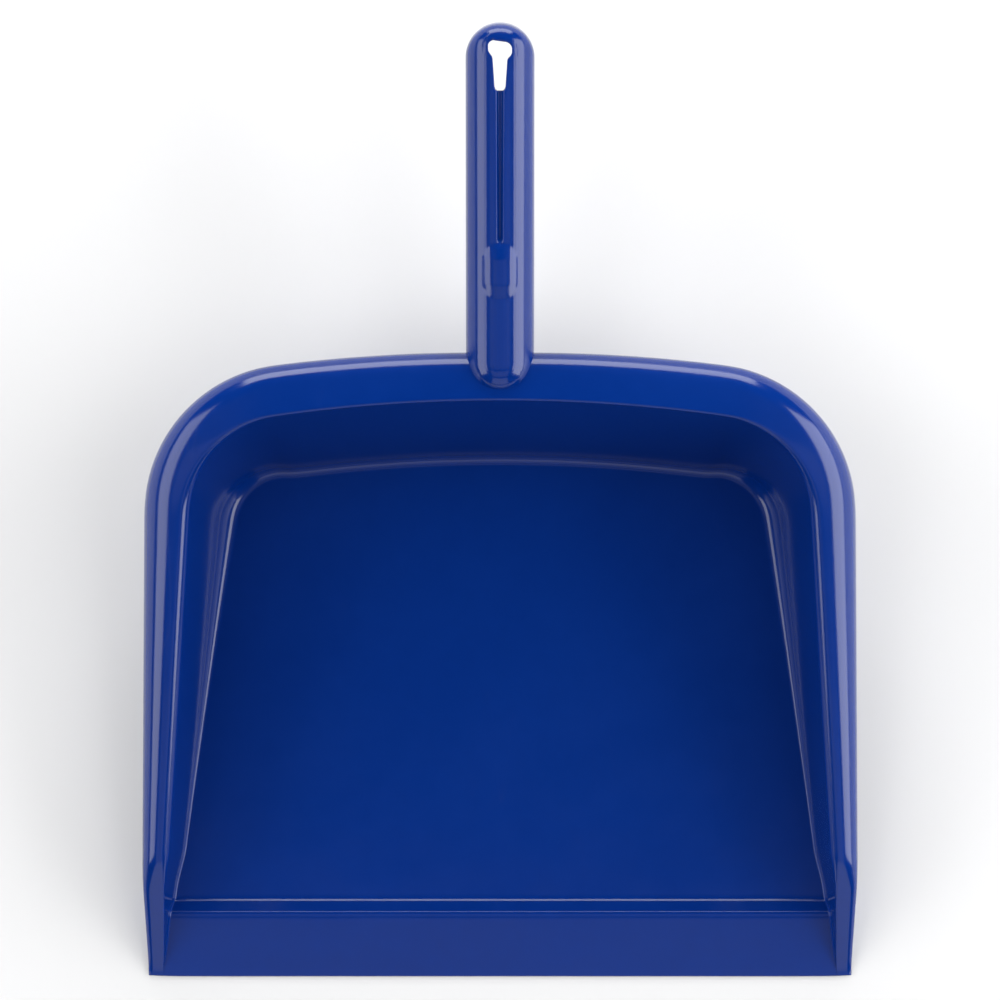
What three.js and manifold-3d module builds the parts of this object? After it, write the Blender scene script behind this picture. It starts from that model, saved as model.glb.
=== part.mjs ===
// A one-hand household dustpan in blue polypropylene: a deep tray with a rolled rim, a wedge-shaped
// front lip, and a hollow handle whose round nose laps over the back of the rim.
// Millimetres, +Z up, +Y from the front edge towards the handle, X across the width.
// Lengths along Y are measured from the front edge; the last lines move the origin under the middle.

import * as THREE from "three";
import Module from "manifold-3d";
import { mergeVertices } from "three/addons/utils/BufferGeometryUtils.js";

const wasm = await Module();
wasm.setup();

const radians = THREE.MathUtils.degToRad;
const lerp = THREE.MathUtils.lerp;

// ---- Driving dimensions ----

const OVERALL_LENGTH = 409; // front edge to handle tip
const WALL = 2.5; // thickness of walls, rim and handle
const FLOOR = 2.6; // thickness of the floor
const GAP = 0.3; // clearance kept between two neighbouring pieces

const mouth = {
  frontX: 149.5, // half width of the mouth at the front edge
  sideX: 146, // half width where the rim turns down
  flare: 0.081, // narrowing of each side towards the back, mm per mm
  backY: 253.6, // inner edge of the rim at the back
  cornerRadius: 45,
  crownRadius: 680, // the back bows outwards on this radius
};

const rim = {
  frontZ: 2, // height at the front edge
  turnY: 54, // where the rim turns down towards the front edge
  turnZ: 36,
  slope: Math.tan(radians(15)), // rise from the turn to the back
  frontWidth: 6.6,
  turnWidth: 10,
  cornerWidth: 18.2,
  shoulderWidth: 21.2, // where the corner meets the back
  backWidth: 19.9, // in the middle of the back
  roundness: 0.8, // drop of the shoulder over its width
  flatShare: 0.6, // most of the rim's height that the shoulder may take
  skirtDepth: 23, // top of the rim to the skirt's lower edge
  edgeRadius: 1.2, // rounding of the mouth's edge
};

const wall = {
  sideDraft: Math.tan(radians(9)), // inward lean per mm of depth
  backDraft: Math.tan(radians(13.9)),
  frontFoot: 3.5, // fillet between wall and floor, near the front
  sideFoot: 16, // the same where the side meets the corner
  backFoot: 9.5,
  footGrowth: 1.6, // how late the side's fillet grows, as a power
};

const lip = {
  edge: 1.2, // thickness of the front edge
  crestY: 29,
  crestZ: 8,
  stepY: 33.7, // foot of the step behind the crest
  solidY: 4.4, // the lip is solid up to here, and a bent sheet behind
  sheet: 2.2, // thickness of the sheet
  ribs: 9, // ribs under the ramp
  ribPitch: 29,
  ribThickness: 1.6,
};

const handle = {
  radius: 14.3,
  tilt: radians(10), // rise towards the tip
  rootY: 270.4, // centre of the nose dome
  crownZ: 96, // top of the handle over the root
  skirt: 6, // straight sides below the round top
  gussetLength: 52, // the sides deepen over this length at the root
  gussetDepth: 11,
  ribWidth: 7.4, // rib under the crown that holds the groove
  ribDepth: 7,
  webs: 3, // cross webs in the hollow
  webThickness: 2,
  webInset: 3, // webs stay this far above the lower edge
};

// The hanging hole and what lines up with it, placed back from the tip along the handle.
const keyhole = {
  fromTip: 7,
  headWidth: 9.4,
  headLength: 7.6,
  headCorner: 3,
  neckTop: 6.1,
  neckEnd: 4.3,
  length: 20.8,
  collar: 3.2, // wall around the hole
  collarDepth: 9,
};
const groove = { topWidth: 2.8, endWidth: 2, depth: 4.4 };
const thumbRest = { fromTip: 91.4, length: 20.8, width: 15, endWidth: 9, chamfer: 4, height: 1.5 };

const UP = 200; // higher than everything, for cutting blocks
const DOWN = 12; // how far cutting blocks reach below the ground

// ---- Solids and meshes ----

// A closed three.js geometry as a solid that can be joined and cut.
function solid(geometry) {
  const bare = new THREE.BufferGeometry();
  bare.setAttribute("position", geometry.getAttribute("position"));
  bare.setIndex(geometry.index);
  const merged = mergeVertices(bare, 1e-4);
  return new wasm.Manifold(
    new wasm.Mesh({
      numProp: 3,
      vertProperties: new Float32Array(merged.attributes.position.array),
      triVerts: new Uint32Array(merged.index.array),
    }),
  );
}

// A solid as a named mesh.
function meshOf(name, body, colour, roughness) {
  const cut = body.getMesh();
  const stride = cut.numProp;
  const points = new Float32Array(cut.numVert * 3);
  for (let i = 0; i < cut.numVert; i++) {
    points.set(cut.vertProperties.subarray(i * stride, i * stride + 3), i * 3);
  }
  const geometry = new THREE.BufferGeometry();
  geometry.setAttribute("position", new THREE.BufferAttribute(points, 3));
  geometry.setIndex(new THREE.BufferAttribute(cut.triVerts, 1));
  geometry.computeVertexNormals();
  const material = new THREE.MeshStandardMaterial({ color: colour, roughness, metalness: 0 });
  const mesh = new THREE.Mesh(geometry, material);
  mesh.name = name;
  return mesh;
}

// A flat outline, drawn in the XY plane, made into a prism between two heights.
function prism(shape, low, high, curveSegments = 12) {
  const options = { depth: high - low, bevelEnabled: false, curveSegments };
  return solid(new THREE.ExtrudeGeometry(shape, options).translate(0, 0, low));
}

// An outline of [y, z] points made into a bar that runs along X, centred on the part's middle plane.
function bar(points, width) {
  const shape = new THREE.Shape(points.map(([y, z]) => new THREE.Vector2(y, z)));
  const geometry = new THREE.ExtrudeGeometry(shape, { depth: width, bevelEnabled: false });
  geometry.translate(0, 0, -width / 2);
  geometry.applyMatrix4(new THREE.Matrix4().set(0, 0, 1, 0, 1, 0, 0, 0, 0, 1, 0, 0, 0, 0, 0, 1));
  return solid(geometry);
}

function box(lowX, highX, lowY, highY, lowZ, highZ) {
  const geometry = new THREE.BoxGeometry(highX - lowX, highY - lowY, highZ - lowZ);
  geometry.translate((lowX + highX) / 2, (lowY + highY) / 2, (lowZ + highZ) / 2);
  return solid(geometry);
}

// ---- The line of the mouth, and the stations along it ----

const rimHeight = (y) =>
  y < rim.turnY
    ? lerp(rim.frontZ, rim.turnZ, y / rim.turnY)
    : rim.turnZ + rim.slope * (y - rim.turnY);

const mouthX = (y) =>
  y < rim.turnY
    ? lerp(mouth.frontX, mouth.sideX, y / rim.turnY)
    : mouth.sideX - mouth.flare * (y - rim.turnY);

// The centre of the corner arc, which touches the straight side and the bowed back.
function cornerCentre() {
  const side = new THREE.Vector2(mouth.sideX, rim.turnY);
  const along = new THREE.Vector2(-mouth.flare, 1).normalize();
  const inward = new THREE.Vector2(-along.y, along.x);
  const crown = new THREE.Vector2(0, mouth.backY - mouth.crownRadius);
  const reach = mouth.crownRadius - mouth.cornerRadius;
  const start = side.addScaledVector(inward, mouth.cornerRadius);
  const offset = start.clone().sub(crown);
  const half = offset.dot(along);
  const distance = -half + Math.sqrt(half * half - offset.lengthSq() + reach * reach);
  return start.addScaledVector(along, distance);
}

// Each station has a point on the mouth's edge, an outward direction, and the rim's sizes there.
function halfStations() {
  const centre = cornerCentre();
  const crownY = mouth.backY - mouth.crownRadius;
  const startAngle = Math.atan(mouth.flare);
  const endAngle = Math.atan2(centre.y - crownY, centre.x);
  const cornerY = centre.y + mouth.cornerRadius * Math.sin(startAngle);
  const made = [];
  const add = (x, y, angle, width, draft, foot) => {
    const top = rimHeight(y);
    const drop = Math.min(rim.roundness * width, rim.flatShare * top);
    made.push({ x, y, outX: Math.cos(angle), outY: Math.sin(angle), top, width, drop, draft, foot });
  };

  const sideYs = [0, 8, 16, 24, 32, 40, 48, rim.turnY, 62, 85, 115, 145, 172, 190];
  for (const y of sideYs) {
    const width =
      y < rim.turnY
        ? lerp(rim.frontWidth, rim.turnWidth, y / rim.turnY)
        : lerp(rim.turnWidth, rim.cornerWidth, (y - rim.turnY) / (cornerY - rim.turnY));
    const share = Math.max(y - rim.turnY, 0) / (cornerY - rim.turnY);
    const foot = lerp(wall.frontFoot, wall.sideFoot, share ** wall.footGrowth);
    add(mouthX(y), y, startAngle * share, width, wall.sideDraft, foot);
  }

  const cornerSteps = 11;
  for (let i = 0; i <= cornerSteps; i++) {
    const share = i / cornerSteps;
    const angle = lerp(startAngle, endAngle, share);
    add(
      centre.x + mouth.cornerRadius * Math.cos(angle),
      centre.y + mouth.cornerRadius * Math.sin(angle),
      angle,
      lerp(rim.cornerWidth, rim.shoulderWidth, share),
      lerp(wall.sideDraft, wall.backDraft, share),
      lerp(wall.sideFoot, wall.backFoot, share),
    );
  }

  const crownSteps = 6;
  for (let i = 1; i <= crownSteps; i++) {
    const angle = lerp(endAngle, Math.PI / 2, i / crownSteps);
    const x = i === crownSteps ? 0 : mouth.crownRadius * Math.cos(angle);
    const width = lerp(rim.shoulderWidth, rim.backWidth, i / crownSteps);
    const y = crownY + mouth.crownRadius * Math.sin(angle);
    add(x, y, angle, width, wall.backDraft, wall.backFoot);
  }
  return made;
}

const right = halfStations();
const left = right
  .slice(0, -1)
  .reverse()
  .map((s) => ({ ...s, x: -s.x, outX: -s.outX }));
const stations = [...right, ...left];

// A closed solid swept round the mouth. profile(station) gives [outward, z] points from the outer
// foot to the middle; the middle, the underside and the front end are closed with flat strips.
function sweep(profile) {
  const rows = stations.map((s) =>
    profile(s).map(([out, z]) => [s.x + s.outX * out, s.y + s.outY * out, z]),
  );
  const count = rows[0].length;
  const last = rows.length - 1;
  const middle = last / 2;
  const at = (row, column) => row * count + column;
  const faces = [];
  const quad = (a, b, c, d) => faces.push(a, b, c, a, c, d);

  for (let i = 0; i < last; i++) {
    for (let j = 0; j < count - 1; j++) quad(at(i, j), at(i + 1, j), at(i + 1, j + 1), at(i, j + 1));
  }
  for (let i = 0; i < middle; i++) {
    const [near, far] = [last - i, last - i - 1];
    const [top, foot] = [count - 1, 0];
    if (i + 1 === middle) {
      faces.push(at(i, top), at(middle, top), at(near, top));
      faces.push(at(i, foot), at(near, foot), at(middle, foot));
    } else {
      quad(at(i, top), at(i + 1, top), at(far, top), at(near, top));
      quad(at(i, foot), at(near, foot), at(far, foot), at(i + 1, foot));
    }
  }

  const rightEnd = rows[0].map((p, j) => ({ flat: new THREE.Vector2(p[0], p[2]), index: at(0, j) }));
  const leftEnd = rows[last].map((p, j) => ({
    flat: new THREE.Vector2(p[0], p[2]),
    index: at(last, j),
  }));
  const end = [...rightEnd, ...leftEnd.reverse()];
  const cover = THREE.ShapeUtils.triangulateShape(end.map((p) => p.flat), []);
  const turned = THREE.ShapeUtils.isClockWise(end.map((p) => p.flat));
  for (const [a, b, c] of cover) {
    if (turned) faces.push(end[a].index, end[c].index, end[b].index);
    else faces.push(end[a].index, end[b].index, end[c].index);
  }

  const geometry = new THREE.BufferGeometry();
  geometry.setAttribute("position", new THREE.Float32BufferAttribute(rows.flat(2), 3));
  geometry.setIndex(faces);
  return solid(geometry);
}

// ---- Profiles of the tray ----

const shoulderSteps = 7;
const filletSteps = 6;

// The tray's outside skin, with everything below it filled: skirt, shoulder, mouth edge, wall,
// foot fillet, floor. grow moves the skin outwards, and floorZ sets the middle's height.
function skin(station, grow, floorZ, footZ) {
  const { width, top, drop, draft, foot } = station;
  const points = [[width + grow, footZ]];
  for (let i = 0; i <= shoulderSteps; i++) {
    const angle = (i / shoulderSteps) * (Math.PI / 2);
    const edge = rim.edgeRadius * Math.sin(angle);
    const out = edge + (width - rim.edgeRadius) * Math.cos(angle);
    points.push([out + grow * Math.cos(angle), top - drop * (1 - Math.sin(angle)) + grow]);
  }
  const depth = Math.max(top - floorZ, 0);
  const radius = Math.min(foot, 0.3 * depth);
  const wallX = (z) => -draft * (top - z) - grow;
  points.push([wallX(top) + 0.15 * rim.edgeRadius, top + grow - 0.3 * rim.edgeRadius]);
  const lean = Math.atan(draft);
  const turn = Math.PI / 2 - lean;
  const reach = radius * Math.tan(turn / 2);
  const footX = wallX(floorZ);
  for (let i = 0; i <= filletSteps; i++) {
    const angle = lerp(0, turn, i / filletSteps);
    const centreX = footX - reach;
    points.push([
      centreX + radius * Math.sin(turn - angle),
      floorZ + radius * (1 - Math.cos(turn - angle)),
    ]);
  }
  return points;
}

// The hollow under the rim and outside the walls, one wall thickness inside the skin.
function hollow(station) {
  const { width, top, drop, draft } = station;
  const low = -DOWN;
  const inner = WALL * 1.05;
  const span = Math.max(width - WALL - inner, 0.4);
  const points = [[inner + span, low]];
  for (let i = 0; i <= shoulderSteps; i++) {
    const angle = (i / shoulderSteps) * (Math.PI / 2);
    points.push([inner + span * Math.cos(angle), top - WALL - drop * (1 - Math.sin(angle))]);
  }
  points.push([inner - draft * (top - WALL + 1), -1]);
  return points;
}

// ---- Tray ----

function trayBody() {
  const block = sweep((s) => skin(s, 0, FLOOR, 0));
  const solidTips = 18;
  const cavity = sweep(hollow).intersect(box(-UP, UP, solidTips, OVERALL_LENGTH, -DOWN, UP));
  const underSkirt = sweep((s) => {
    const edge = s.top - rim.skirtDepth;
    return [
      [s.width + DOWN, Math.min(edge, 0) - DOWN],
      [s.width + DOWN, edge],
      [0, edge],
    ];
  });
  const withinSkirt = sweep((s) => [
    [s.width / 2, -UP],
    [s.width / 2, UP],
    [0, UP],
  ]);
  const mouthOfFloor = box(-UP, UP, -DOWN, lip.stepY + GAP, -DOWN, UP);
  return block
    .subtract(cavity)
    .subtract(underSkirt.subtract(withinSkirt))
    .subtract(mouthOfFloor.subtract(sideWalls(0)));
}

// The walls and rim alone, running on below the floor, grown by a clearance.
function sideWalls(grow) {
  return sweep((s) => skin(s, grow, -DOWN, -DOWN - 1));
}

// ---- Front lip ----

// A sheet bent up from the thin front edge over the crest and down the step to the floor, with ribs
// in the hollow under it.
function lipBody() {
  const { edge, crestY, crestZ, stepY, solidY, sheet, ribs, ribPitch, ribThickness } = lip;
  const top = [
    [stepY, 0],
    [stepY, FLOOR],
    [crestY + 0.9, crestZ - 0.35],
    [crestY, crestZ],
    [crestY - 1.4, crestZ - 0.12],
    [0, edge],
    [0, 0],
  ];
  const hollowUnder = [
    [solidY, 0],
    [crestY - 1.5, crestZ - sheet - 0.4],
    [crestY - 0.4, crestZ - sheet - 0.4],
    [stepY - sheet, 0],
  ];
  const width = 2 * (mouth.frontX - GAP);
  let made = bar([...hollowUnder, ...top], width);
  for (let i = 0; i < ribs; i++) {
    const x = (i - (ribs - 1) / 2) * ribPitch;
    made = made.add(bar(top, ribThickness).translate([x, 0, 0]));
  }
  const aboveFloor = box(-UP, UP, -DOWN, 2 * UP, FLOOR, UP);
  const fillets = sweep((s) => skin(s, GAP, FLOOR - 0.1, -DOWN)).intersect(aboveFloor);
  return made.subtract(sideWalls(GAP)).subtract(fillets);
}

// ---- Handle, in its own frame: y along the axis from the root, z up from the axis ----

const handleLength =
  (OVERALL_LENGTH - handle.radius - handle.rootY) / Math.cos(handle.tilt);
const tipY = handleLength + handle.radius;

function stadium(radius, startY, endY) {
  const shape = new THREE.Shape();
  shape.absarc(0, endY, radius, 0, Math.PI, false);
  shape.absarc(0, startY, radius, Math.PI, 2 * Math.PI, false);
  return shape;
}

function capsule(radius) {
  const geometry = new THREE.CapsuleGeometry(radius, handleLength, 8, 36);
  geometry.translate(0, handleLength / 2, 0);
  return solid(geometry);
}

// The handle's outline filled in, from its round top down to the lower edge.
function handleSolid() {
  const { radius, skirt, gussetLength, gussetDepth } = handle;
  const sides = prism(stadium(radius, 0, handleLength), -UP, 0, 10);
  const edge = [
    [-radius - 1, 1],
    [-radius - 1, -skirt - gussetDepth],
    [0, -skirt - gussetDepth],
    [gussetLength * 0.35, -skirt - gussetDepth * 0.45],
    [gussetLength * 0.7, -skirt - gussetDepth * 0.1],
    [gussetLength, -skirt],
    [tipY + 1, -skirt],
    [tipY + 1, 1],
  ];
  return capsule(radius).add(sides.intersect(bar(edge, 2 * radius + 2)));
}

function handleHollow() {
  const inner = handle.radius - WALL;
  return capsule(inner).add(prism(stadium(inner, 0, handleLength), -UP, 0, 10));
}

// The hanging hole: a round-cornered head with a neck that tapers to a round end.
function keyholeOutline(grow) {
  const top = tipY - keyhole.fromTip + grow;
  const head = keyhole.headWidth / 2 + grow;
  const corner = keyhole.headCorner + grow;
  const neck = keyhole.neckTop / 2 + grow;
  const end = keyhole.neckEnd / 2 + grow;
  const headEnd = top - keyhole.headLength - 2 * grow;
  const endY = tipY - keyhole.fromTip - keyhole.length + keyhole.neckEnd / 2;
  const shape = new THREE.Shape();
  shape.moveTo(head - corner, top);
  shape.lineTo(corner - head, top);
  shape.absarc(corner - head, top - corner, corner, Math.PI / 2, Math.PI, false);
  shape.lineTo(-head, headEnd + 2.4);
  shape.quadraticCurveTo(-head, headEnd + 0.9, -neck, headEnd - 0.6);
  shape.lineTo(-end, endY);
  shape.absarc(0, endY, end, Math.PI, 2 * Math.PI, false);
  shape.lineTo(neck, headEnd - 0.6);
  shape.quadraticCurveTo(head, headEnd + 0.9, head, headEnd + 2.4);
  shape.lineTo(head, top - corner);
  shape.absarc(head - corner, top - corner, corner, 0, Math.PI / 2, false);
  return shape;
}

function grooveSolid() {
  const start = tipY - keyhole.fromTip - keyhole.length + 1;
  const end = tipY - thumbRest.fromTip - 0.5;
  const shape = new THREE.Shape();
  shape.moveTo(-groove.topWidth / 2, start);
  shape.lineTo(-groove.endWidth / 2, end);
  shape.lineTo(groove.endWidth / 2, end);
  shape.lineTo(groove.topWidth / 2, start);
  return prism(shape, handle.radius - groove.depth, UP);
}

// The raised rest that the thumb finds, a long lozenge standing proud of the handle's top.
function thumbRestSolid() {
  const near = tipY - thumbRest.fromTip;
  const far = near - thumbRest.length;
  const { width, endWidth, chamfer } = thumbRest;
  const shape = new THREE.Shape();
  shape.moveTo(-endWidth / 2, near);
  shape.lineTo(-width / 2, near - chamfer);
  shape.lineTo(-width / 2, far + chamfer);
  shape.lineTo(-endWidth / 2, far);
  shape.lineTo(endWidth / 2, far);
  shape.lineTo(width / 2, far + chamfer);
  shape.lineTo(width / 2, near - chamfer);
  shape.lineTo(endWidth / 2, near);
  const proud = new THREE.CylinderGeometry(
    handle.radius + thumbRest.height,
    handle.radius + thumbRest.height,
    handleLength,
    48,
  ).translate(0, handleLength / 2, 0);
  return prism(shape, handle.radius / 2, UP).intersect(solid(proud));
}

// The rib under the groove, the collar round the hanging hole, and the webs across the hollow.
function stiffeners() {
  const { radius, ribWidth, ribDepth, webs, webThickness, webInset, skirt } = handle;
  const ribEnd = tipY - keyhole.fromTip - keyhole.length;
  const ribStart = tipY - thumbRest.fromTip - thumbRest.length;
  const half = ribWidth / 2;
  let made = box(-half, half, ribStart, ribEnd, radius - ribDepth, radius);
  made = made.add(prism(keyholeOutline(keyhole.collar), radius - keyhole.collarDepth, radius));
  for (let i = 1; i <= webs; i++) {
    const y = (i * ribEnd) / (webs + 1);
    const web = box(-radius, radius, y, y + webThickness, webInset - skirt, radius);
    made = made.add(web);
  }
  return made;
}

function handleBody() {
  const whole = handleSolid();
  const placed = whole
    .subtract(handleHollow())
    .add(stiffeners().intersect(whole))
    .add(thumbRestSolid())
    .subtract(prism(keyholeOutline(0), -UP, UP))
    .subtract(grooveSolid())
    .rotate([THREE.MathUtils.radToDeg(handle.tilt), 0, 0])
    .translate([0, handle.rootY, handle.crownZ - handle.radius]);
  return placed.subtract(sweep((s) => skin(s, GAP, FLOOR, -DOWN)));
}

// ---- Assembly ----

const BLUE = 0x0a2f8c;

const dustpan = new THREE.Group();
dustpan.add(meshOf("pan_tray", trayBody(), BLUE, 0.32));
dustpan.add(meshOf("front_lip", lipBody(), BLUE, 0.38));
dustpan.add(meshOf("handle", handleBody(), BLUE, 0.32));
dustpan.position.y = -OVERALL_LENGTH / 2;

export default dustpan;
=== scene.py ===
from math import atan, atan2, cos, hypot, pi, radians, sin, sqrt, tan

import bmesh
import bpy
from mathutils import Matrix, Vector


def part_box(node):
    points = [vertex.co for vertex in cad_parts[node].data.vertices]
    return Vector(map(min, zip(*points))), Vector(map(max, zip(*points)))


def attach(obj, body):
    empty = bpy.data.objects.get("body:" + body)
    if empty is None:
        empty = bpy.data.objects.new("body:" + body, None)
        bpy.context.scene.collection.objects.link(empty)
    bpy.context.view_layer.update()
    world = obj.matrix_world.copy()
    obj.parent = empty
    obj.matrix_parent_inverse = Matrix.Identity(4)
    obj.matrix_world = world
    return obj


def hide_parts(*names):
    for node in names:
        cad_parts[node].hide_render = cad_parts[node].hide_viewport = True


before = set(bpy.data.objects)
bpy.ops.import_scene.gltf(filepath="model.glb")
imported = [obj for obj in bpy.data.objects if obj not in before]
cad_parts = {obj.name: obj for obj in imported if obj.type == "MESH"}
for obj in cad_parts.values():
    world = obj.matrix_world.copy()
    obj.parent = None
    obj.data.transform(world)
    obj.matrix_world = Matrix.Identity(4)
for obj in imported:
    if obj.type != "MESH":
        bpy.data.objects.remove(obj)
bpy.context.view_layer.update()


# ---- The pan ----
# Tray, rolled rim and front lip, which run into each other as one wall of glossy blue
# polypropylene, injection moulded about 2.5 mm thick. It is open underneath: the rim's skirt
# hangs free round the walls, and the lip is a bent sheet. Lengths here are in millimetres.

MM = 0.001
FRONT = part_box("pan_tray")[0].y / MM

WALL = 2.5
FLOOR = 2.6

MOUTH_FRONT_X = 149.5
MOUTH_SIDE_X = 146
MOUTH_FLARE = 0.081
MOUTH_BACK_Y = 253.6
CORNER_RADIUS = 45
CROWN_RADIUS = 680

TURN_Y = 54  # where the rim turns down towards the front edge
TURN_Z = 36
RIM_SLOPE = tan(radians(15))
RIM_FRONT_Z = -0.2
RIM_FRONT_WIDTH = 6.5
RIM_TURN_WIDTH = 9.9
RIM_CORNER_WIDTH = 18.1
RIM_SHOULDER_WIDTH = 21.2
RIM_BACK_WIDTH = 19.9
RIM_BULGE = 1.1  # height of the rim's outer curve against its width, beside the pan
SKIRT_DEPTH = 23
MOUTH_EDGE = 4.7  # the rim's inner curve, beside the pan and then at the back
MOUTH_BACK_EDGE = 1.2
MOUTH_BULGE = 1.4

SIDE_DRAFT = 0.124
BACK_DRAFT = 0.265
FRONT_FOOT = 1.2
SIDE_FOOT = 8.5
BACK_FOOT = 5
FOOT_GROWTH = 1.5
SIDE_FOOT_BULGE = 2.3
BACK_FOOT_BULGE = 1.5

# Where the wall is low, its curves shrink to these shares of the depth from rim to floor.
FOOT_REACH_LIMIT = 0.25
FOOT_HEIGHT_LIMIT = 0.4
EDGE_LIMIT = 0.3
EDGE_SETBACK = 0.4  # of the inner curve's reach that lies over the rim, outside the mouth's line
RIM_SAG = 0.08  # fall of the flat of the rim towards its outer curve, against its width
RISE_LIMIT = 0.6  # of the rim's height that the outer curve may take
SKIRT_ROUND = 0.9  # height of the rounding of the skirt's lower edge

# The floor's height along the pan, from the front edge over the crest and down to the flat.
FLOOR_LINE = [(0, 1.2), (26.6, 7.6), (27.6, 7.8), (28.8, 7.9), (29.5, 7.65), (33.7, 3.47), (34.9, 2.62),
              (35.2, FLOOR), (400, FLOOR)]
UNDER_LINE = [(0, 0), (4.4, 0), (27.5, 5.3), (29.2, 5.2), (32.6, 0.3), (33.4, 0), (400, 0)]


def lerp(a, b, t):
    return a + (b - a) * t


def along(line, y):
    """The height of a line of (y, z) points at y."""
    for (y0, z0), (y1, z1) in zip(line, line[1:]):
        if y <= y1:
            return lerp(z0, z1, (y - y0) / (y1 - y0))
    return line[-1][1]


def rim_height(y):
    rising = lerp(RIM_FRONT_Z, TURN_Z, y / TURN_Y) if y < TURN_Y else TURN_Z + RIM_SLOPE * (y - TURN_Y)
    return max(rising, along(FLOOR_LINE, y) + 0.1)


def mouth_x(y):
    if y < TURN_Y:
        return lerp(MOUTH_FRONT_X, MOUTH_SIDE_X, y / TURN_Y)
    return MOUTH_SIDE_X - MOUTH_FLARE * (y - TURN_Y)


def corner_centre():
    """The centre of the corner arc, which touches the straight side and the bowed back."""
    way = Vector((-MOUTH_FLARE, 1)).normalized()
    start = Vector((MOUTH_SIDE_X, TURN_Y)) + Vector((-way.y, way.x)) * CORNER_RADIUS
    offset = start - Vector((0, MOUTH_BACK_Y - CROWN_RADIUS))
    half = offset.dot(way)
    reach = CROWN_RADIUS - CORNER_RADIUS
    return start + way * (sqrt(half * half - offset.length_squared + reach * reach) - half)


def pan_stations():
    """Places along the right half of the mouth: the point, the way out, and the rim's sizes."""
    centre = corner_centre()
    crown_y = MOUTH_BACK_Y - CROWN_RADIUS
    start_angle = atan(MOUTH_FLARE)
    end_angle = atan2(centre.y - crown_y, centre.x)
    corner_y = centre.y + CORNER_RADIUS * sin(start_angle)
    made = []

    def add(x, y, angle, width, **shape):
        made.append(dict(x=x, y=y, out=Vector((cos(angle), sin(angle))), width=width, **shape))

    # Closest together over the crest and step of the lip, and at the turn of the rim.
    side_ys = [0, 0.4, 1.2, 2.6, 5, 8.5, 13, 18, 22.5, 25.4,
               26.6, 27.6, 28.3, 28.9, 29.2, 29.5, 29.9, 31.2, 32.6, 33.5, 33.8, 34.3, 34.8, 35.1,
               36, 38, 42, 46, 49.5, 52.5, 55.5, 58.5, 63, 72, 85, 100, 118, 136, 154, 172, 188, 199]
    for y in side_ys:
        share = max(y - TURN_Y, 0) / (corner_y - TURN_Y)
        if y < TURN_Y:
            width = lerp(RIM_FRONT_WIDTH, RIM_TURN_WIDTH, y / TURN_Y)
        else:
            width = lerp(RIM_TURN_WIDTH, RIM_CORNER_WIDTH, share)
        rounded = min(max((y - 42) / 14, 0), 1)
        edge = lerp(lerp(0.8, 4, rounded), MOUTH_EDGE, min(share * 3, 1))
        add(mouth_x(y), y, start_angle * share, width, arch=lerp(0.42, 1, rounded), edge=edge,
            bulge=lerp(0.8, RIM_BULGE, rounded), draft=SIDE_DRAFT,
            foot=lerp(FRONT_FOOT, SIDE_FOOT, share ** FOOT_GROWTH), foot_bulge=SIDE_FOOT_BULGE)

    corner_steps = 12
    for i in range(corner_steps + 1):
        share = i / corner_steps
        angle = lerp(start_angle, end_angle, share)
        spot = centre + Vector((cos(angle), sin(angle))) * CORNER_RADIUS
        add(spot.x, spot.y, angle, lerp(RIM_CORNER_WIDTH, RIM_SHOULDER_WIDTH, share),
            arch=lerp(1, 0.5, share), edge=lerp(MOUTH_EDGE, MOUTH_BACK_EDGE, share),
            bulge=lerp(RIM_BULGE, 1, share), draft=lerp(SIDE_DRAFT, BACK_DRAFT, share),
            foot=lerp(SIDE_FOOT, BACK_FOOT, share),
            foot_bulge=lerp(SIDE_FOOT_BULGE, BACK_FOOT_BULGE, share))

    crown_steps = 7
    for i in range(1, crown_steps + 1):
        share = i / crown_steps
        angle = lerp(end_angle, pi / 2, share)
        x = CROWN_RADIUS * cos(angle) if i < crown_steps else 0
        y = crown_y + CROWN_RADIUS * sin(angle)
        add(x, y, angle, lerp(RIM_SHOULDER_WIDTH, RIM_BACK_WIDTH, share), arch=0.5,
            edge=MOUTH_BACK_EDGE, bulge=1, draft=BACK_DRAFT, foot=BACK_FOOT,
            foot_bulge=BACK_FOOT_BULGE)
    return made


def arc(centre_out, centre_z, reach_out, reach_z, start, end, steps):
    """Points on an ellipse's arc, angles in radians from the outward way towards up."""
    turns = [lerp(start, end, i / steps) for i in range(steps + 1)]
    return [(centre_out + reach_out * cos(t), centre_z + reach_z * sin(t)) for t in turns]


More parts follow.
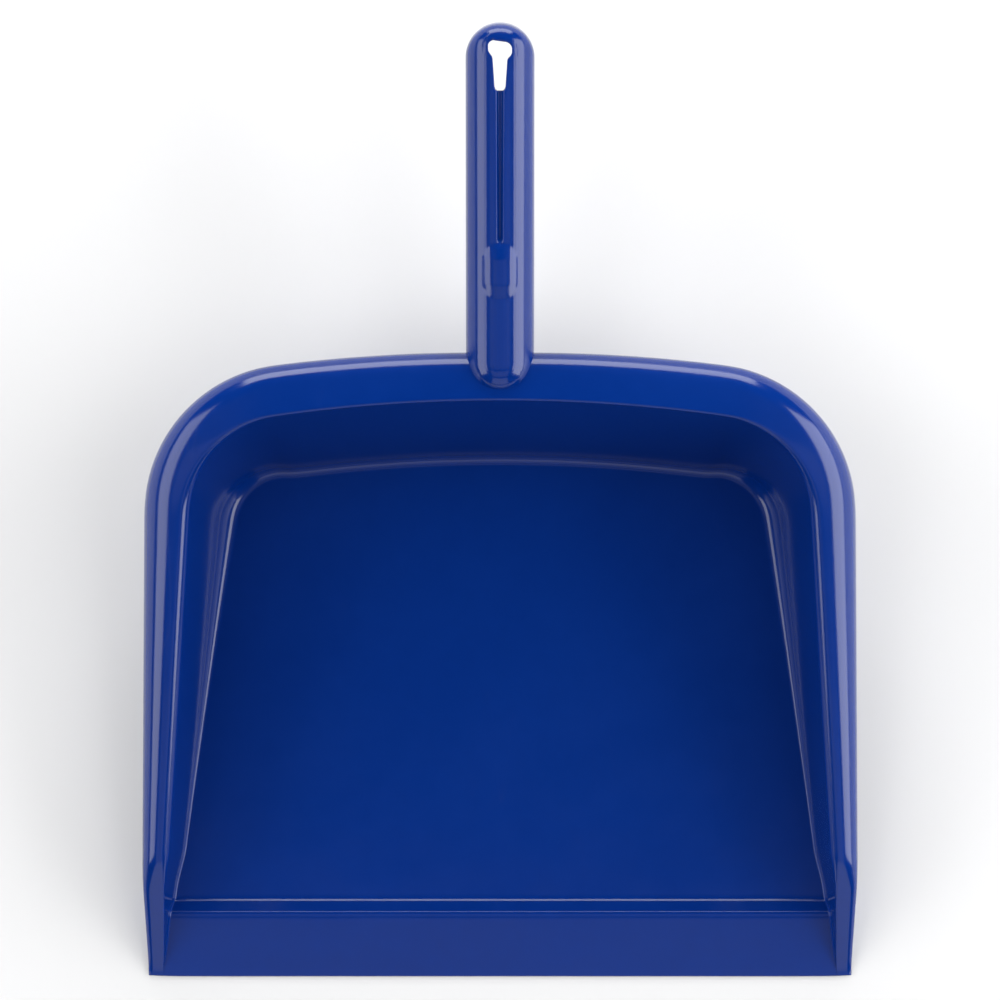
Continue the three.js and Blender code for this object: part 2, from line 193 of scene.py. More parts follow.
def pan_profile(place):
    """The wall's section at a station, as (outward, z) points: up from the floor, over the rim,
    down the skirt, and back along the inside of the skirt and the outside of the wall."""
    y, width, draft = place["y"], place["width"], place["draft"]
    top = rim_height(y)
    floor = along(FLOOR_LINE, y)
    under = along(UNDER_LINE, y)
    depth = top - floor
    foot = min(place["foot"], FOOT_REACH_LIMIT * depth)
    foot_high = min(foot * place["foot_bulge"], FOOT_HEIGHT_LIMIT * depth)
    edge = min(place["edge"], EDGE_LIMIT * depth)
    edge_high = edge * MOUTH_BULGE
    top_out = EDGE_SETBACK * edge

    # Both curves end where they are as steep as the wall, which runs straight between them.
    edge_end = pi - atan2(edge_high * draft, edge)
    foot_end = -atan2(foot_high * draft, foot)
    wall_high = (top_out + edge * cos(edge_end), top - edge_high + edge_high * sin(edge_end))
    foot_z = floor + foot_high
    wall_low_z = foot_z + foot_high * sin(foot_end)
    foot_out = wall_high[0] - draft * (wall_high[1] - wall_low_z) - foot * cos(foot_end)

    inner = [(foot_out - 4, floor), (foot_out - 0.8, floor)]
    inner += arc(foot_out, foot_z, foot, foot_high, -pi / 2, foot_end, 8)
    for share in (0.1, 0.5, 0.9):
        z = lerp(wall_low_z, wall_high[1], share)
        inner.append((wall_high[0] - draft * (wall_high[1] - z), z))
    inner += arc(top_out, top - edge_high, edge, edge_high, edge_end, pi / 2, 7)

    across = (width - top_out) * place["arch"]
    rise = min(across * place["bulge"], RISE_LIMIT * top)
    sag = RIM_SAG * (width - top_out - across)
    shoulder_z = top - sag - rise
    rim = [(lerp(top_out, width - across, 0.5), top - 0.3 * sag)]
    rim += arc(width - across, shoulder_z, across, rise, pi / 2 * 0.96, 0, 12)

    skirt_z = min(max(top - SKIRT_DEPTH, 0), shoulder_z)
    gap = shoulder_z - skirt_z
    wall = min(WALL, 0.45 * width)
    rim += [(width, skirt_z + 0.5 * gap), (width, skirt_z + min(SKIRT_ROUND, 0.3 * gap)),
            (width - 0.25, skirt_z + min(0.2, 0.1 * gap)), (width - 0.7, skirt_z)]

    ceiling = max(top - max(WALL, 0.8 * edge_high), 0)
    back = [(width - wall + 0.6, skirt_z), (width - wall + 0.1, skirt_z + min(0.2, 0.1 * gap)),
            (width - wall, skirt_z + min(SKIRT_ROUND, 0.3 * gap))]
    back += arc(width - across, shoulder_z, max(across - wall, 0.2), max(rise - WALL, 0.1), 0, pi / 2, 6)
    back = [(max(out, WALL + 0.4), min(z, ceiling)) for out, z in back]
    outside = [(WALL * 1.15, ceiling), (WALL * 0.95, ceiling - 0.5)]
    for share in (0.85, 0.4, 0.08):
        z = lerp(foot_z, ceiling, share)
        outside.append((wall_high[0] + WALL - draft * (wall_high[1] - z), z))
    outside += arc(foot_out, foot_z, foot + floor - under, foot_high + floor - under, 0, -pi / 2, 6)
    outside += [(foot_out - 0.8, under), (foot_out - 4, under)]
    return [(out, max(z, 0)) for out, z in inner + rim + back + outside]


def chain(bm, points):
    """A row of vertices joined by edges."""
    verts = [bm.verts.new(p) for p in points]
    for pair in zip(verts, verts[1:]):
        bm.edges.new(pair)
    return verts


def extrude_chain(bm, verts, points):
    """Extrudes a row of vertices into a strip of faces whose far side lies on the points."""
    edges = [bm.edges.get(pair) for pair in zip(verts, verts[1:])]
    made = bmesh.ops.extrude_edge_only(bm, edges=edges)["geom"]
    fresh = {g for g in made if isinstance(g, bmesh.types.BMVert)}
    far = [next(e.other_vert(v) for e in v.link_edges if e.other_vert(v) in fresh) for v in verts]
    for vert, point in zip(far, points):
        vert.co = point
    return far


def finished(bm, name):
    """A mesh turned into a smooth-shaded object."""
    mesh = bpy.data.meshes.new(name)
    bm.to_mesh(mesh)
    bm.free()
    mesh.shade_smooth()
    piece = bpy.data.objects.new(name, mesh)
    bpy.context.scene.collection.objects.link(piece)
    return piece


def pan_mesh():
    places = pan_stations()
    rows = [[] for _ in pan_profile(places[0])]
    for place in places:
        for row, (out, z) in zip(rows, pan_profile(place)):
            row.append(Vector((place["x"] + place["out"].x * out,
                               FRONT + place["y"] + place["out"].y * out, z)) * MM)
    for row in rows:
        row[-1].x = 0
    for row in (rows[0], rows[-1]):  # the flat floor's edge never turns back on itself
        for near, far in zip(row, row[1:]):
            far.y = max(far.y, near.y + 0.05 * MM)
    middle_top = [Vector((0, p.y, p.z)) for p in rows[0]]
    middle_under = [Vector((0, p.y, p.z)) for p in rows[-1]]
    quarter_top = [Vector((p.x * 0.8, p.y, p.z)) for p in rows[0]]
    quarter_under = [Vector((p.x * 0.8, p.y, p.z)) for p in rows[-1]]

    bm = bmesh.new()
    verts = chain(bm, middle_top)
    for points in [quarter_top, *rows, quarter_under, middle_under]:
        verts = extrude_chain(bm, verts, points)
    bmesh.ops.remove_doubles(bm, verts=bm.verts, dist=0.02 * MM)
    bmesh.ops.mirror(bm, geom=bm.verts[:] + bm.edges[:] + bm.faces[:], axis="X", merge_dist=0.02 * MM)
    bmesh.ops.dissolve_degenerate(bm, edges=bm.edges, dist=0.005 * MM)
    bmesh.ops.holes_fill(bm, edges=[e for e in bm.edges if e.is_boundary], sides=0)
    bmesh.ops.recalc_face_normals(bm, faces=bm.faces)
    return bm


pan = finished(pan_mesh(), "pan")
smooth = pan.modifiers.new("smooth", "SUBSURF")
smooth.levels = smooth.render_levels = 1


# The plastic: coloured right through, so it has no paint to wear. What shows is faint cloudy flow
# of the pigment, a slight ripple left by the mould, and rubbed hairline scuffs.

def new_group(name, inputs, outputs):
    """A node group with named sockets, and its input and output nodes."""
    group = bpy.data.node_groups.new(name, "ShaderNodeTree")
    for label, kind, value in inputs:
        socket = group.interface.new_socket(label, in_out="INPUT", socket_type=kind)
        if value is not None:
            socket.default_value = value
    for label, kind in outputs:
        group.interface.new_socket(label, in_out="OUTPUT", socket_type=kind)
    return group, group.nodes.new("NodeGroupInput"), group.nodes.new("NodeGroupOutput")


def add_node(tree, kind, **settings):
    node = tree.nodes.new(kind)
    for key, value in settings.items():
        if key in node.inputs:
            node.inputs[key].default_value = value
        else:
            setattr(node, key, value)
    return node


# A mix node has sockets of the same name for each kind of data: these are the colour ones.
MIX_A, MIX_B, MIX_RESULT = 6, 7, 2


def scuff_group():
    """Hairline scuffs: thin bright lines where a stretched, warped noise crosses its middle."""
    group, given, out = new_group(
        "hairline scuffs",
        [("Vector", "NodeSocketVector", None), ("Density", "NodeSocketFloat", 60.0),
         ("Width", "NodeSocketFloat", 0.02), ("Cover", "NodeSocketFloat", 0.5)],
        [("Mask", "NodeSocketFloat")],
    )
    link = group.links.new
    lines = add_node(group, "ShaderNodeTexNoise", Detail=0.0, Roughness=0.4, Distortion=0.0)
    link(given.outputs["Vector"], lines.inputs["Vector"])
    link(given.outputs["Density"], lines.inputs["Scale"])
    centred = add_node(group, "ShaderNodeMath", operation="SUBTRACT")
    centred.inputs[1].default_value = 0.5
    link(lines.outputs["Fac"], centred.inputs[0])
    size = add_node(group, "ShaderNodeMath", operation="ABSOLUTE")
    link(centred.outputs[0], size.inputs[0])
    thin = add_node(group, "ShaderNodeMapRange", clamp=True)
    thin.inputs["From Min"].default_value = 0.0
    thin.inputs["To Min"].default_value = 1.0
    thin.inputs["To Max"].default_value = 0.0
    link(size.outputs[0], thin.inputs["Value"])
    link(given.outputs["Width"], thin.inputs["From Max"])
    patches = add_node(group, "ShaderNodeTexNoise", Scale=22.0, Detail=2.0, Roughness=0.5)
    link(given.outputs["Vector"], patches.inputs["Vector"])
    here = add_node(group, "ShaderNodeMapRange", clamp=True)
    here.inputs["From Max"].default_value = 0.75
    link(patches.outputs["Fac"], here.inputs["Value"])
    link(given.outputs["Cover"], here.inputs["From Min"])
    both = add_node(group, "ShaderNodeMath", operation="MULTIPLY")
    link(thin.outputs["Result"], both.inputs[0])
    link(here.outputs["Result"], both.inputs[1])
    link(both.outputs[0], out.inputs["Mask"])
    return group


def cloud_group():
    """Cloudy flow: two shades of one pigment, mixed by slow noise with a little fine mottle."""
    group, given, out = new_group(
        "cloudy flow",
        [("Vector", "NodeSocketVector", None), ("Deep", "NodeSocketColor", None),
         ("Pale", "NodeSocketColor", None)],
        [("Color", "NodeSocketColor"), ("Mask", "NodeSocketFloat")],
    )
    link = group.links.new
    slow = add_node(group, "ShaderNodeTexNoise", Scale=9.0, Detail=3.0, Roughness=0.55, Distortion=0.8)
    fine = add_node(group, "ShaderNodeTexNoise", Scale=140.0, Detail=2.0, Roughness=0.6)
    for noise in (slow, fine):
        link(given.outputs["Vector"], noise.inputs["Vector"])
    blend = add_node(group, "ShaderNodeMix", data_type="FLOAT")
    blend.inputs["Factor"].default_value = 0.3
    link(slow.outputs["Fac"], blend.inputs["A"])
    link(fine.outputs["Fac"], blend.inputs["B"])
    spread = add_node(group, "ShaderNodeMapRange", clamp=True)
    spread.inputs["From Min"].default_value = 0.32
    spread.inputs["From Max"].default_value = 0.68
    link(blend.outputs["Result"], spread.inputs["Value"])
    shade = add_node(group, "ShaderNodeMix", data_type="RGBA")
    link(spread.outputs["Result"], shade.inputs["Factor"])
    link(given.outputs["Deep"], shade.inputs[MIX_A])
    link(given.outputs["Pale"], shade.inputs[MIX_B])
    link(shade.outputs[MIX_RESULT], out.inputs["Color"])
    link(spread.outputs["Result"], out.inputs["Mask"])
    return group


scuffs = scuff_group()
clouds = cloud_group()


def polypropylene(name, deep, pale, gloss, ripple, scuff_stretch, scuff_strength):
    """Glossy moulded plastic. gloss is its plain roughness, and ripple the mould's waviness.
    scuff_stretch is large across the scuffs and small along them."""
    material = bpy.data.materials.new(name)
    material.use_nodes = True
    tree = material.node_tree
    link = tree.links.new
    shader = tree.nodes["Principled BSDF"]
    shader.inputs["IOR"].default_value = 1.5
    shader.inputs["Specular IOR Level"].default_value = 0.45
    place = add_node(tree, "ShaderNodeTexCoord")

    flow = add_node(tree, "ShaderNodeGroup", node_tree=clouds, Deep=deep, Pale=pale)
    link(place.outputs["Object"], flow.inputs["Vector"])

    stretch = add_node(tree, "ShaderNodeMapping", vector_type="POINT")
    stretch.inputs["Scale"].default_value = scuff_stretch
    stretch.inputs["Rotation"].default_value = (0, 0, 0.22)
    link(place.outputs["Object"], stretch.inputs["Vector"])
    worn = add_node(tree, "ShaderNodeGroup", node_tree=scuffs, Density=60.0, Width=0.012, Cover=0.52)
    link(stretch.outputs["Vector"], worn.inputs["Vector"])

    tone = add_node(tree, "ShaderNodeMix", data_type="RGBA")
    tone.inputs[MIX_B].default_value = (0.01, 0.04, 0.24, 1)
    faint = add_node(tree, "ShaderNodeMath", operation="MULTIPLY")
    faint.inputs[1].default_value = scuff_strength
    link(worn.outputs["Mask"], faint.inputs[0])
    link(faint.outputs[0], tone.inputs["Factor"])
    link(flow.outputs["Color"], tone.inputs[MIX_A])
    link(tone.outputs[MIX_RESULT], shader.inputs["Base Color"])

    rough = add_node(tree, "ShaderNodeMapRange", clamp=True)
    rough.inputs["To Min"].default_value = gloss * 0.85
    rough.inputs["To Max"].default_value = gloss * 1.2
    link(flow.outputs["Mask"], rough.inputs["Value"])
    rougher = add_node(tree, "ShaderNodeMath", operation="MULTIPLY_ADD")
    rougher.inputs[1].default_value = 0.1
    link(worn.outputs["Mask"], rougher.inputs[0])
    link(rough.outputs["Result"], rougher.inputs[2])
    link(rougher.outputs[0], shader.inputs["Roughness"])

    waves = add_node(tree, "ShaderNodeTexNoise", Scale=38.0, Detail=1.0, Roughness=0.4)
    peel = add_node(tree, "ShaderNodeTexNoise", Scale=900.0, Detail=1.0, Roughness=0.5)
    for noise in (waves, peel):
        link(place.outputs["Object"], noise.inputs["Vector"])
    wave_bump = add_node(tree, "ShaderNodeBump", Strength=ripple, Distance=0.0006)
    link(waves.outputs["Fac"], wave_bump.inputs["Height"])
    peel_bump = add_node(tree, "ShaderNodeBump", Strength=0.05, Distance=0.00004)
    link(peel.outputs["Fac"], peel_bump.inputs["Height"])
    link(wave_bump.outputs["Normal"], peel_bump.inputs["Normal"])
    scuff_bump = add_node(tree, "ShaderNodeBump", Strength=0.05, Distance=0.00005, invert=True)
    link(worn.outputs["Mask"], scuff_bump.inputs["Height"])
    link(peel_bump.outputs["Normal"], scuff_bump.inputs["Normal"])
    link(scuff_bump.outputs["Normal"], shader.inputs["Normal"])
    return material


BLUE_DEEP = (0.0002, 0.0175, 0.148, 1)
BLUE_PALE = (0.0003, 0.0202, 0.166, 1)
SCUFF_STRETCH = (1.6, 0.16, 0.16)
SCUFF_STRENGTH = 0.06
pan_plastic = polypropylene("pan plastic", BLUE_DEEP, BLUE_PALE, 0.15, 0.2, SCUFF_STRETCH,
                            SCUFF_STRENGTH)
pan.data.materials.append(pan_plastic)
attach(pan, "root")
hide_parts("pan_tray", "front_lip")


# ---- The lip's ribs ----
# Thin upright ribs under the ramp, moulded with it, which keep the bent sheet of the lip stiff.
# They run from the solid front edge to the step, and end just above the ground.

RIB_COUNT = 9
RIB_PITCH = 29
RIB_THICKNESS = 1.6
RIB_OVERLAP = 0.8  # how far a rib runs up into the sheet over it
RIB_CLEARANCE = 0.05  # over the ground


def plate(bm, outline, normal, thickness):
    """Adds a flat plate of even thickness, half of it on each side of the outline."""
    face = bm.faces.new([bm.verts.new(p) for p in outline])
    far = bmesh.ops.extrude_face_region(bm, geom=[face])["geom"]
    moved = [g for g in far if isinstance(g, bmesh.types.BMVert)]
    bmesh.ops.translate(bm, verts=face.verts[:], vec=Vector(normal) * -thickness / 2)
    bmesh.ops.translate(bm, verts=moved, vec=Vector(normal) * thickness / 2)


def rib_mesh():
    side = [(y, z + RIB_OVERLAP) for y, z in UNDER_LINE[1:5]]
    side = [(side[0][0], RIB_CLEARANCE), *side, (side[-1][0], RIB_CLEARANCE)]
    bm = bmesh.new()
    for i in range(RIB_COUNT):
        x = (i - (RIB_COUNT - 1) / 2) * RIB_PITCH
        plate(bm, [(x, FRONT + y, z) for y, z in side], (1, 0, 0), RIB_THICKNESS)
    bmesh.ops.scale(bm, verts=bm.verts, vec=(MM, MM, MM))
    bmesh.ops.recalc_face_normals(bm, faces=bm.faces)
    return bm


ribs = finished(rib_mesh(), "lip_ribs")
ribs.data.shade_flat()
ribs.data.materials.append(pan_plastic)
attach(ribs, "root")


# ---- The handle ----
# A round-topped grip, moulded hollow and open underneath, whose round nose lies over the rim. The
# keyhole at its tip runs into a blind groove, which ends at a low raised rest for the thumb.

HANDLE_RADIUS = 14.3
HANDLE_TILT = radians(9.4)
HANDLE_ROOT_Y = 270.4
HANDLE_CROWN_Z = 96
HANDLE_WALL = 2.5
HANDLE_SKIRT = 6
GUSSET_LENGTH = 52
GUSSET_DEPTH = 11
TIP_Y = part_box("handle")[1].y / MM - FRONT
ROUND_END_Y = TIP_Y - HANDLE_RADIUS - HANDLE_SKIRT * sin(HANDLE_TILT)
HANDLE_LENGTH = (ROUND_END_Y - HANDLE_ROOT_Y) / cos(HANDLE_TILT)
HANDLE_TIP = HANDLE_LENGTH + HANDLE_RADIUS

KEY_FROM_TIP = 6.6
KEY_LENGTH = 21.6
HEAD_WIDTH = 9.8
HEAD_LENGTH = 6.4
HEAD_CORNER = 2.6
HEAD_SLANT = 0.13  # the head's far edge isn't quite square to the handle
KEY_FILLET = 1.6  # rounding of the neck's end, and of the corners between neck and head
KEY_EDGE = 0.5  # rounding of the hole's upper edge
NECK_TOP = 6.2
NECK_END = 4.5
GROOVE_TOP = 2.3
GROOVE_END = 1.7
GROOVE_DEPTH = 1.7
GROOVE_EDGE = 1.3  # the groove's sides slope over this width
GROOVE_FADE = 3  # its lower end rises over this length
TIP_SQUARENESS = 3.6
NOSE_SQUARENESS = 2.3
REST_FROM_TIP = 91.2
REST_LENGTH = 21
REST_WIDTH = 15
REST_END = 5
REST_SINK = 1.1
REST_CURVE = 9.6
COLLAR_WALL = 2.4  # round the keyhole, inside the grip
COLLAR_LOW = 4.5
COLLAR_COVER = 1.9  # the collar ends this far below the grip's crown

# The grip's mesh: cuts close enough to hold the groove, the hole's edge and the thumb rest.
FINE_CUTS = 28
FINE_STEP = 0.3
LENGTH_STEP = 0.85
FEATURES_ABOVE = 4  # everything on the grip's top lies higher than this over its axis

to_handle = Matrix.Translation((0, FRONT + HANDLE_ROOT_Y, HANDLE_CROWN_Z - HANDLE_RADIUS))
to_handle = Matrix.Scale(MM, 4) @ to_handle @ Matrix.Rotation(HANDLE_TILT, 4, "X")


def clamp(value, low=0.0, high=1.0):
    return min(max(value, low), high)


def soft_step(value):
    value = clamp(value)
    return value * value * (3 - 2 * value)


def tapered(x, y, y0, half0, y1, half1):
    """Signed distance, near enough, to a bar that tapers from half0 at y0 to half1 at y1."""
    share = clamp((y - y0) / (y1 - y0))
    half = lerp(half0, half1, share)
    beyond = max(min(y0, y1) - y, y - max(y0, y1), 0)
    if beyond == 0:
        return abs(x) - half
    return hypot(max(abs(x) - half, 0), beyond)


def keyhole_gap(x, y):
    """Distance outwards from the keyhole's edge, negative inside it."""
    top = HANDLE_TIP - KEY_FROM_TIP
    head_y = top - HEAD_LENGTH / 2
    slant = HEAD_SLANT * (x + HEAD_WIDTH / 2)
    dx = abs(x) - HEAD_WIDTH / 2 + HEAD_CORNER
    dy = abs(y + slant - head_y) - HEAD_LENGTH / 2 + HEAD_CORNER
    head = hypot(max(dx, 0), max(dy, 0)) + min(max(dx, dy), 0) - HEAD_CORNER
    end = top - KEY_LENGTH + NECK_END / 2
    half_end, half_top = NECK_END / 2 - KEY_FILLET, NECK_TOP / 2 - KEY_FILLET
    neck = tapered(x, y, end, half_end, top - HEAD_LENGTH, half_top) - KEY_FILLET
    blend = clamp(0.5 + (neck - head) / (2 * KEY_FILLET))
    return lerp(neck, head, blend) - KEY_FILLET * blend * (1 - blend)


def rest_lift(x, y):
    """How far the thumb rest stands above the grip: a narrower, rounder ridge that sinks at its ends."""
    centre = HANDLE_TIP - REST_FROM_TIP - REST_LENGTH / 2
    to_end = REST_LENGTH / 2 - abs(y - centre)
    half = REST_WIDTH / 2
    if to_end <= 0 or abs(x) >= half:
        return 0.0
    side_z = sqrt(HANDLE_RADIUS ** 2 - half ** 2) - sqrt(REST_CURVE ** 2 - half ** 2)
    ridge = side_z + sqrt(REST_CURVE ** 2 - x * x)
    sunk = REST_SINK * (1 - clamp(to_end / REST_END))
    return max(ridge - sqrt(HANDLE_RADIUS ** 2 - x * x) - sunk, 0)


def dome_share(x, past, squareness):
    """The height of the handle's rounded end at x, past its centre, against a plain round end's."""
    reach = sqrt(max(HANDLE_RADIUS ** 2 - x * x, 1e-6))
    along_reach = clamp(past / reach)
    plain = sqrt(1 - along_reach ** 2)
    square = (1 - along_reach ** squareness) ** (1 / squareness)
    return square / max(plain, 1e-3)


def handle_height(x, y):
    """How far the handle's features lift its top, in millimetres."""
    lift = rest_lift(x, y)
    hole = keyhole_gap(x, y)
    if hole < KEY_EDGE:
        inside = clamp(KEY_EDGE - hole, 0, KEY_EDGE)
        lift -= KEY_EDGE - sqrt(KEY_EDGE * KEY_EDGE - inside * inside)
    start = HANDLE_TIP - REST_FROM_TIP + 0.2
    end = HANDLE_TIP - KEY_FROM_TIP - KEY_LENGTH + 1
    slit = tapered(x, y, start, GROOVE_END / 2, end, GROOVE_TOP / 2)
    lift -= GROOVE_DEPTH * soft_step(0.5 - slit / GROOVE_EDGE) * soft_step((y - start) / GROOVE_FADE)
    return lift


def handle_skirt(y):
    """How far the handle's sides reach below its axis, deeper where it joins the rim."""
    share = clamp(y / GUSSET_LENGTH)
    return HANDLE_SKIRT + GUSSET_DEPTH * (1 - share) ** 1.7


def handle_mesh():
    """The grip's shell in its own frame, its axis along Y: a quarter of a ball drawn out to half the
    length and mirrored, finely cut, given straight sides, and doubled inwards."""
    bm = bmesh.new()
    bmesh.ops.create_uvsphere(bm, u_segments=64, v_segments=32, radius=HANDLE_RADIUS)
    lower = [v for v in bm.verts if v.co.z < -0.01 or v.co.y > 0.01]
    bmesh.ops.delete(bm, geom=lower, context="VERTS")
    rim = [e for e in bm.edges if all(abs(v.co.y) < 0.01 for v in e.verts)]
    arch = bmesh.ops.extrude_edge_only(bm, edges=rim)["geom"]
    bmesh.ops.translate(bm, verts=[g for g in arch if isinstance(g, bmesh.types.BMVert)],
                        vec=(0, HANDLE_LENGTH / 2, 0))
    bmesh.ops.translate(bm, verts=bm.verts, vec=(0, -HANDLE_LENGTH / 2, 0))
    bmesh.ops.mirror(bm, geom=bm.verts[:] + bm.edges[:] + bm.faces[:], axis="Y", merge_dist=0.01)
    bmesh.ops.translate(bm, verts=bm.verts, vec=(0, HANDLE_LENGTH / 2, 0))

    def cut(point, normal):
        geom = bm.verts[:] + bm.edges[:] + bm.faces[:]
        bmesh.ops.bisect_plane(bm, geom=geom, plane_co=point, plane_no=normal, dist=1e-5)

    for step in range(-FINE_CUTS, FINE_CUTS + 1):
        cut((step * FINE_STEP, 0, 0), (1, 0, 0))
    for step in range(1, int(HANDLE_LENGTH / LENGTH_STEP)):
        cut((0, step * LENGTH_STEP, 0), (0, 1, 0))

    for vert in bm.verts:
        past_tip = vert.co.y - HANDLE_LENGTH
        if past_tip > 0:
            vert.co.z *= dome_share(vert.co.x, past_tip, TIP_SQUARENESS)
        elif vert.co.y < 0:
            vert.co.z *= dome_share(vert.co.x, -vert.co.y, NOSE_SQUARENESS)

    for drop in (0.25, 0.6, 0.92, 1.0):
        edge = [e for e in bm.edges if e.is_boundary]
        fresh = bmesh.ops.extrude_edge_only(bm, edges=edge)["geom"]
        for vert in (g for g in fresh if isinstance(g, bmesh.types.BMVert)):
            vert.co.z = -drop * handle_skirt(vert.co.y)

    outer = bm.verts[:]
    copied = bmesh.ops.duplicate(bm, geom=bm.verts[:] + bm.edges[:] + bm.faces[:])["geom"]
    inner = [g for g in copied if isinstance(g, bmesh.types.BMVert)]
    shrink = 1 - HANDLE_WALL / HANDLE_RADIUS
    for vert in inner:
        spine = clamp(vert.co.y, 0, HANDLE_LENGTH)
        vert.co.x *= shrink
        vert.co.y = spine + (vert.co.y - spine) * shrink
        if vert.co.z > 0:
            vert.co.z *= shrink
    bmesh.ops.reverse_faces(bm, faces=[g for g in copied if isinstance(g, bmesh.types.BMFace)])
    edge = [e for e in bm.edges if e.is_boundary]
    bmesh.ops.bridge_loops(bm, edges=edge)
    for vert in outer:
        if vert.co.z > FEATURES_ABOVE:
            vert.co.z += handle_height(vert.co.x, vert.co.y)
    bmesh.ops.recalc_face_normals(bm, faces=bm.faces)
    return bm


def keyhole_cutter(grow, low, high):
    """The keyhole's outline, grown, as a prism. The outline is found by halving along rays that
    start in the middle of its head."""
    middle = HANDLE_TIP - KEY_FROM_TIP - HEAD_LENGTH / 2
    rays, halvings, longest = 180, 40, 30.0
    outline = []
    for i in range(rays):
        angle = 2 * pi * i / rays
        way = Vector((cos(angle), sin(angle)))
        near, far = 0.0, longest
        for _ in range(halvings):
            reach = (near + far) / 2
            if keyhole_gap(way.x * reach, middle + way.y * reach) < grow:
                near = reach
            else:
                far = reach
        outline.append((way.x * near, middle + way.y * near))
    bm = bmesh.new()
    verts = [bm.verts.new((x, y, low)) for x, y in outline]
    face = bm.faces.new(verts)
    top = bmesh.ops.extrude_face_region(bm, geom=[face])["geom"]
    bmesh.ops.translate(bm, verts=[g for g in top if isinstance(g, bmesh.types.BMVert)],
                        vec=(0, 0, high - low))
    bmesh.ops.recalc_face_normals(bm, faces=bm.faces)
    return bm


def apply_boolean(piece, tool, operation):
    """Cuts or joins a piece with a tool that is then thrown away."""
    step = piece.modifiers.new("boolean", "BOOLEAN")
    step.operation = operation
    step.solver = "EXACT"
    step.object = tool
    bpy.context.view_layer.objects.active = piece
    with bpy.context.temp_override(object=piece, active_object=piece):
        bpy.ops.object.modifier_apply(modifier=step.name)
    bpy.data.objects.remove(tool)


handle = finished(handle_mesh(), "grip")
collar = finished(keyhole_cutter(COLLAR_WALL, COLLAR_LOW, HANDLE_RADIUS - COLLAR_COVER), "collar")
apply_boolean(handle, collar, "UNION")
hole = finished(keyhole_cutter(0, -30, 40), "hole")
apply_boolean(handle, hole, "DIFFERENCE")
handle.data.transform(to_handle)
handle.data.shade_smooth()

handle_plastic = polypropylene("handle plastic", BLUE_DEEP, BLUE_PALE, 0.14, 0.15, SCUFF_STRETCH,
                               SCUFF_STRENGTH)
handle.data.materials.append(handle_plastic)
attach(handle, "root")
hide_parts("handle")


# ---- The handle's webs ----
# Inside the hollow grip: a rib along its crown, which holds the blind groove, and three thin
# webs across it. All are moulded with the grip and end short of its lower edge.

WEB_COUNT = 3
WEB_THICKNESS = 2
WEB_INSET = 3
CROWN_RIB_WIDTH = 7.4
CROWN_RIB_DEPTH = 7
CROWN_RIB_SHORT = 1.2  # the rib ends this far before the keyhole
CROWN_RIB_TOP = 0.4  # and this far below the inside of the crown
WEB_OVERLAP = 0.5  # how far a web runs into the grip's wall
WEB_ARC_STEPS = 32


def web_mesh():
    low = HANDLE_TIP - REST_FROM_TIP - REST_LENGTH
    high = HANDLE_TIP - KEY_FROM_TIP - KEY_LENGTH - CROWN_RIB_SHORT
    inside = HANDLE_RADIUS - HANDLE_WALL
    reach = inside + WEB_OVERLAP
    bottom = WEB_INSET - HANDLE_SKIRT
    turns = [pi * k / WEB_ARC_STEPS for k in range(WEB_ARC_STEPS + 1)]
    bm = bmesh.new()
    for i in range(1, WEB_COUNT + 1):
        y = i * high / (WEB_COUNT + 1)
        outline = [(reach * cos(t), y, reach * sin(t)) for t in turns]
        outline += [(-reach, y, bottom), (reach, y, bottom)]
        plate(bm, outline, (0, 1, 0), WEB_THICKNESS)
    half = CROWN_RIB_WIDTH / 2
    rib_low, rib_top = inside - CROWN_RIB_DEPTH + HANDLE_WALL, inside - CROWN_RIB_TOP
    corners = [(-half, rib_low), (half, rib_low), (half, rib_top), (-half, rib_top)]
    plate(bm, [(x, (low + high) / 2, z) for x, z in corners], (0, 1, 0), high - low)
    bmesh.ops.recalc_face_normals(bm, faces=bm.faces)
    return bm


webs = finished(web_mesh(), "grip_webs")
webs.data.shade_flat()
webs.data.transform(to_handle)
webs.data.materials.append(handle_plastic)
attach(webs, "root")


# ---- The studio ----
# A white table under a tent of large soft lights: long panels low on both sides, one behind and
# a dimmer one in front, so that each rounded edge carries a clean line of light.

table_paint = bpy.data.materials.new("white table")
table_paint.use_nodes = True
table_shader = table_paint.node_tree.nodes["Principled BSDF"]
table_shader.inputs["Base Color"].default_value = (0.61, 0.61, 0.615, 1)
table_shader.inputs["Roughness"].default_value = 0.9
table_shader.inputs["Specular IOR Level"].default_value = 0.0

TABLE_HALF = 3.0
TABLE_DROP = 0.0004  # just clear of the pan's flat underside
table_mesh = bmesh.new()
bmesh.ops.create_grid(table_mesh, x_segments=2, y_segments=2, size=TABLE_HALF)
bmesh.ops.translate(table_mesh, verts=table_mesh.verts, vec=(0, 0, -TABLE_DROP))
table = finished(table_mesh, "table")
table.data.materials.append(table_paint)


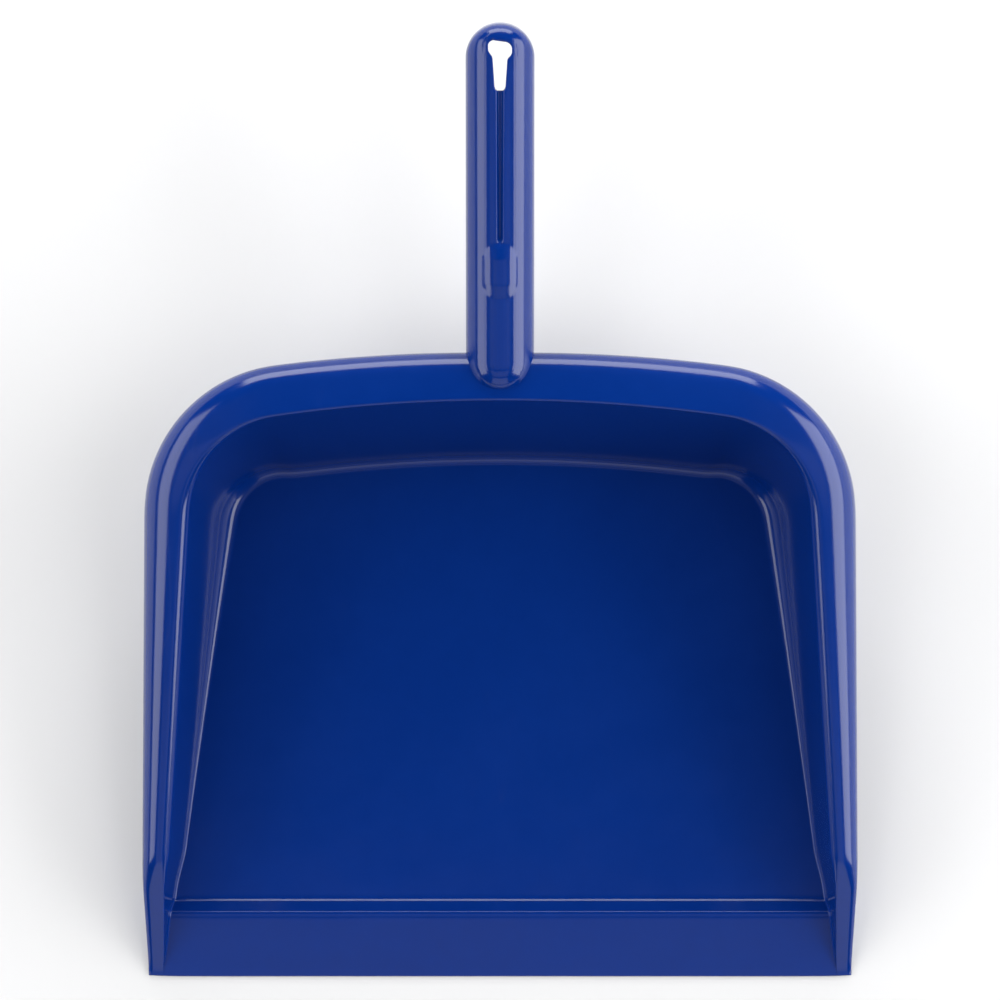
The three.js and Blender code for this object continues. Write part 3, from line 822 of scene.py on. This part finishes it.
def panel(name, place, aim, width, height, radiance):
    """A soft rectangular light of an even brightness, facing a point."""
    light = bpy.data.lights.new(name, "AREA")
    light.shape = "RECTANGLE"
    light.size = width
    light.size_y = height
    light.energy = radiance * pi * width * height
    lamp = bpy.data.objects.new(name, light)
    bpy.context.scene.collection.objects.link(lamp)
    lamp.location = place
    facing = Vector(aim) - Vector(place)
    lamp.rotation_euler = facing.to_track_quat("-Z", "Y").to_euler()
    return lamp


panel("left panel", (-1.3, -0.08, 0.66), (0, -0.08, 0.1), 1.72, 0.82, 3.4)
panel("right panel", (1.3, -0.1, 0.58), (0, -0.1, 0.1), 1.7, 0.98, 4.9)
panel("back panel", (0, 1.5, 0.48), (0, 0, 0.1), 1.9, 0.8, 6.2)
panel("front panel", (0, -1.5, 0.55), (0, 0, 0.1), 1.3, 0.85, 0.9)
panel("near ceiling", (0, -1.7, 5), (0, -1.7, 0), 7.0, 1.8, 0.3)
panel("far ceiling", (0, -4.85, 5), (0, -4.85, 0), 7.0, 3.1, 0.5)

# Higher, off to the sides, and kept out of the gloss as far as can be: they lift the plain colour.
FILL_SIZE = 1.7
fills = [("left fill", (-1.45, 0, 1.9), 2.4), ("right fill", (1.45, 0, 1.9), 2.4),
         ("back fill", (0, 1.45, 1.9), 1.4)]
for name, place, radiance in fills:
    fill = panel(name, place, (0, 0, 0), FILL_SIZE, FILL_SIZE, radiance)
    fill.visible_glossy = False

world = bpy.data.worlds.new("tent")
world.use_nodes = True
world.node_tree.nodes["Background"].inputs["Color"].default_value = (1, 1, 1, 1)
world.node_tree.nodes["Background"].inputs["Strength"].default_value = 0.025
bpy.context.scene.world = world

lens = bpy.data.cameras.new("camera")
lens.sensor_width = 36
VIEW_WIDTH = 0.4441
VIEW_HEIGHT = 1.5
lens.lens = lens.sensor_width * VIEW_HEIGHT / VIEW_WIDTH
lens.clip_end = 20
camera = bpy.data.objects.new("camera", lens)
bpy.context.scene.collection.objects.link(camera)
VIEW_Y = 0.0069
camera.location = (0, VIEW_Y, VIEW_HEIGHT)
bpy.context.scene.camera = camera
bpy.context.scene.view_settings.view_transform = "Standard"
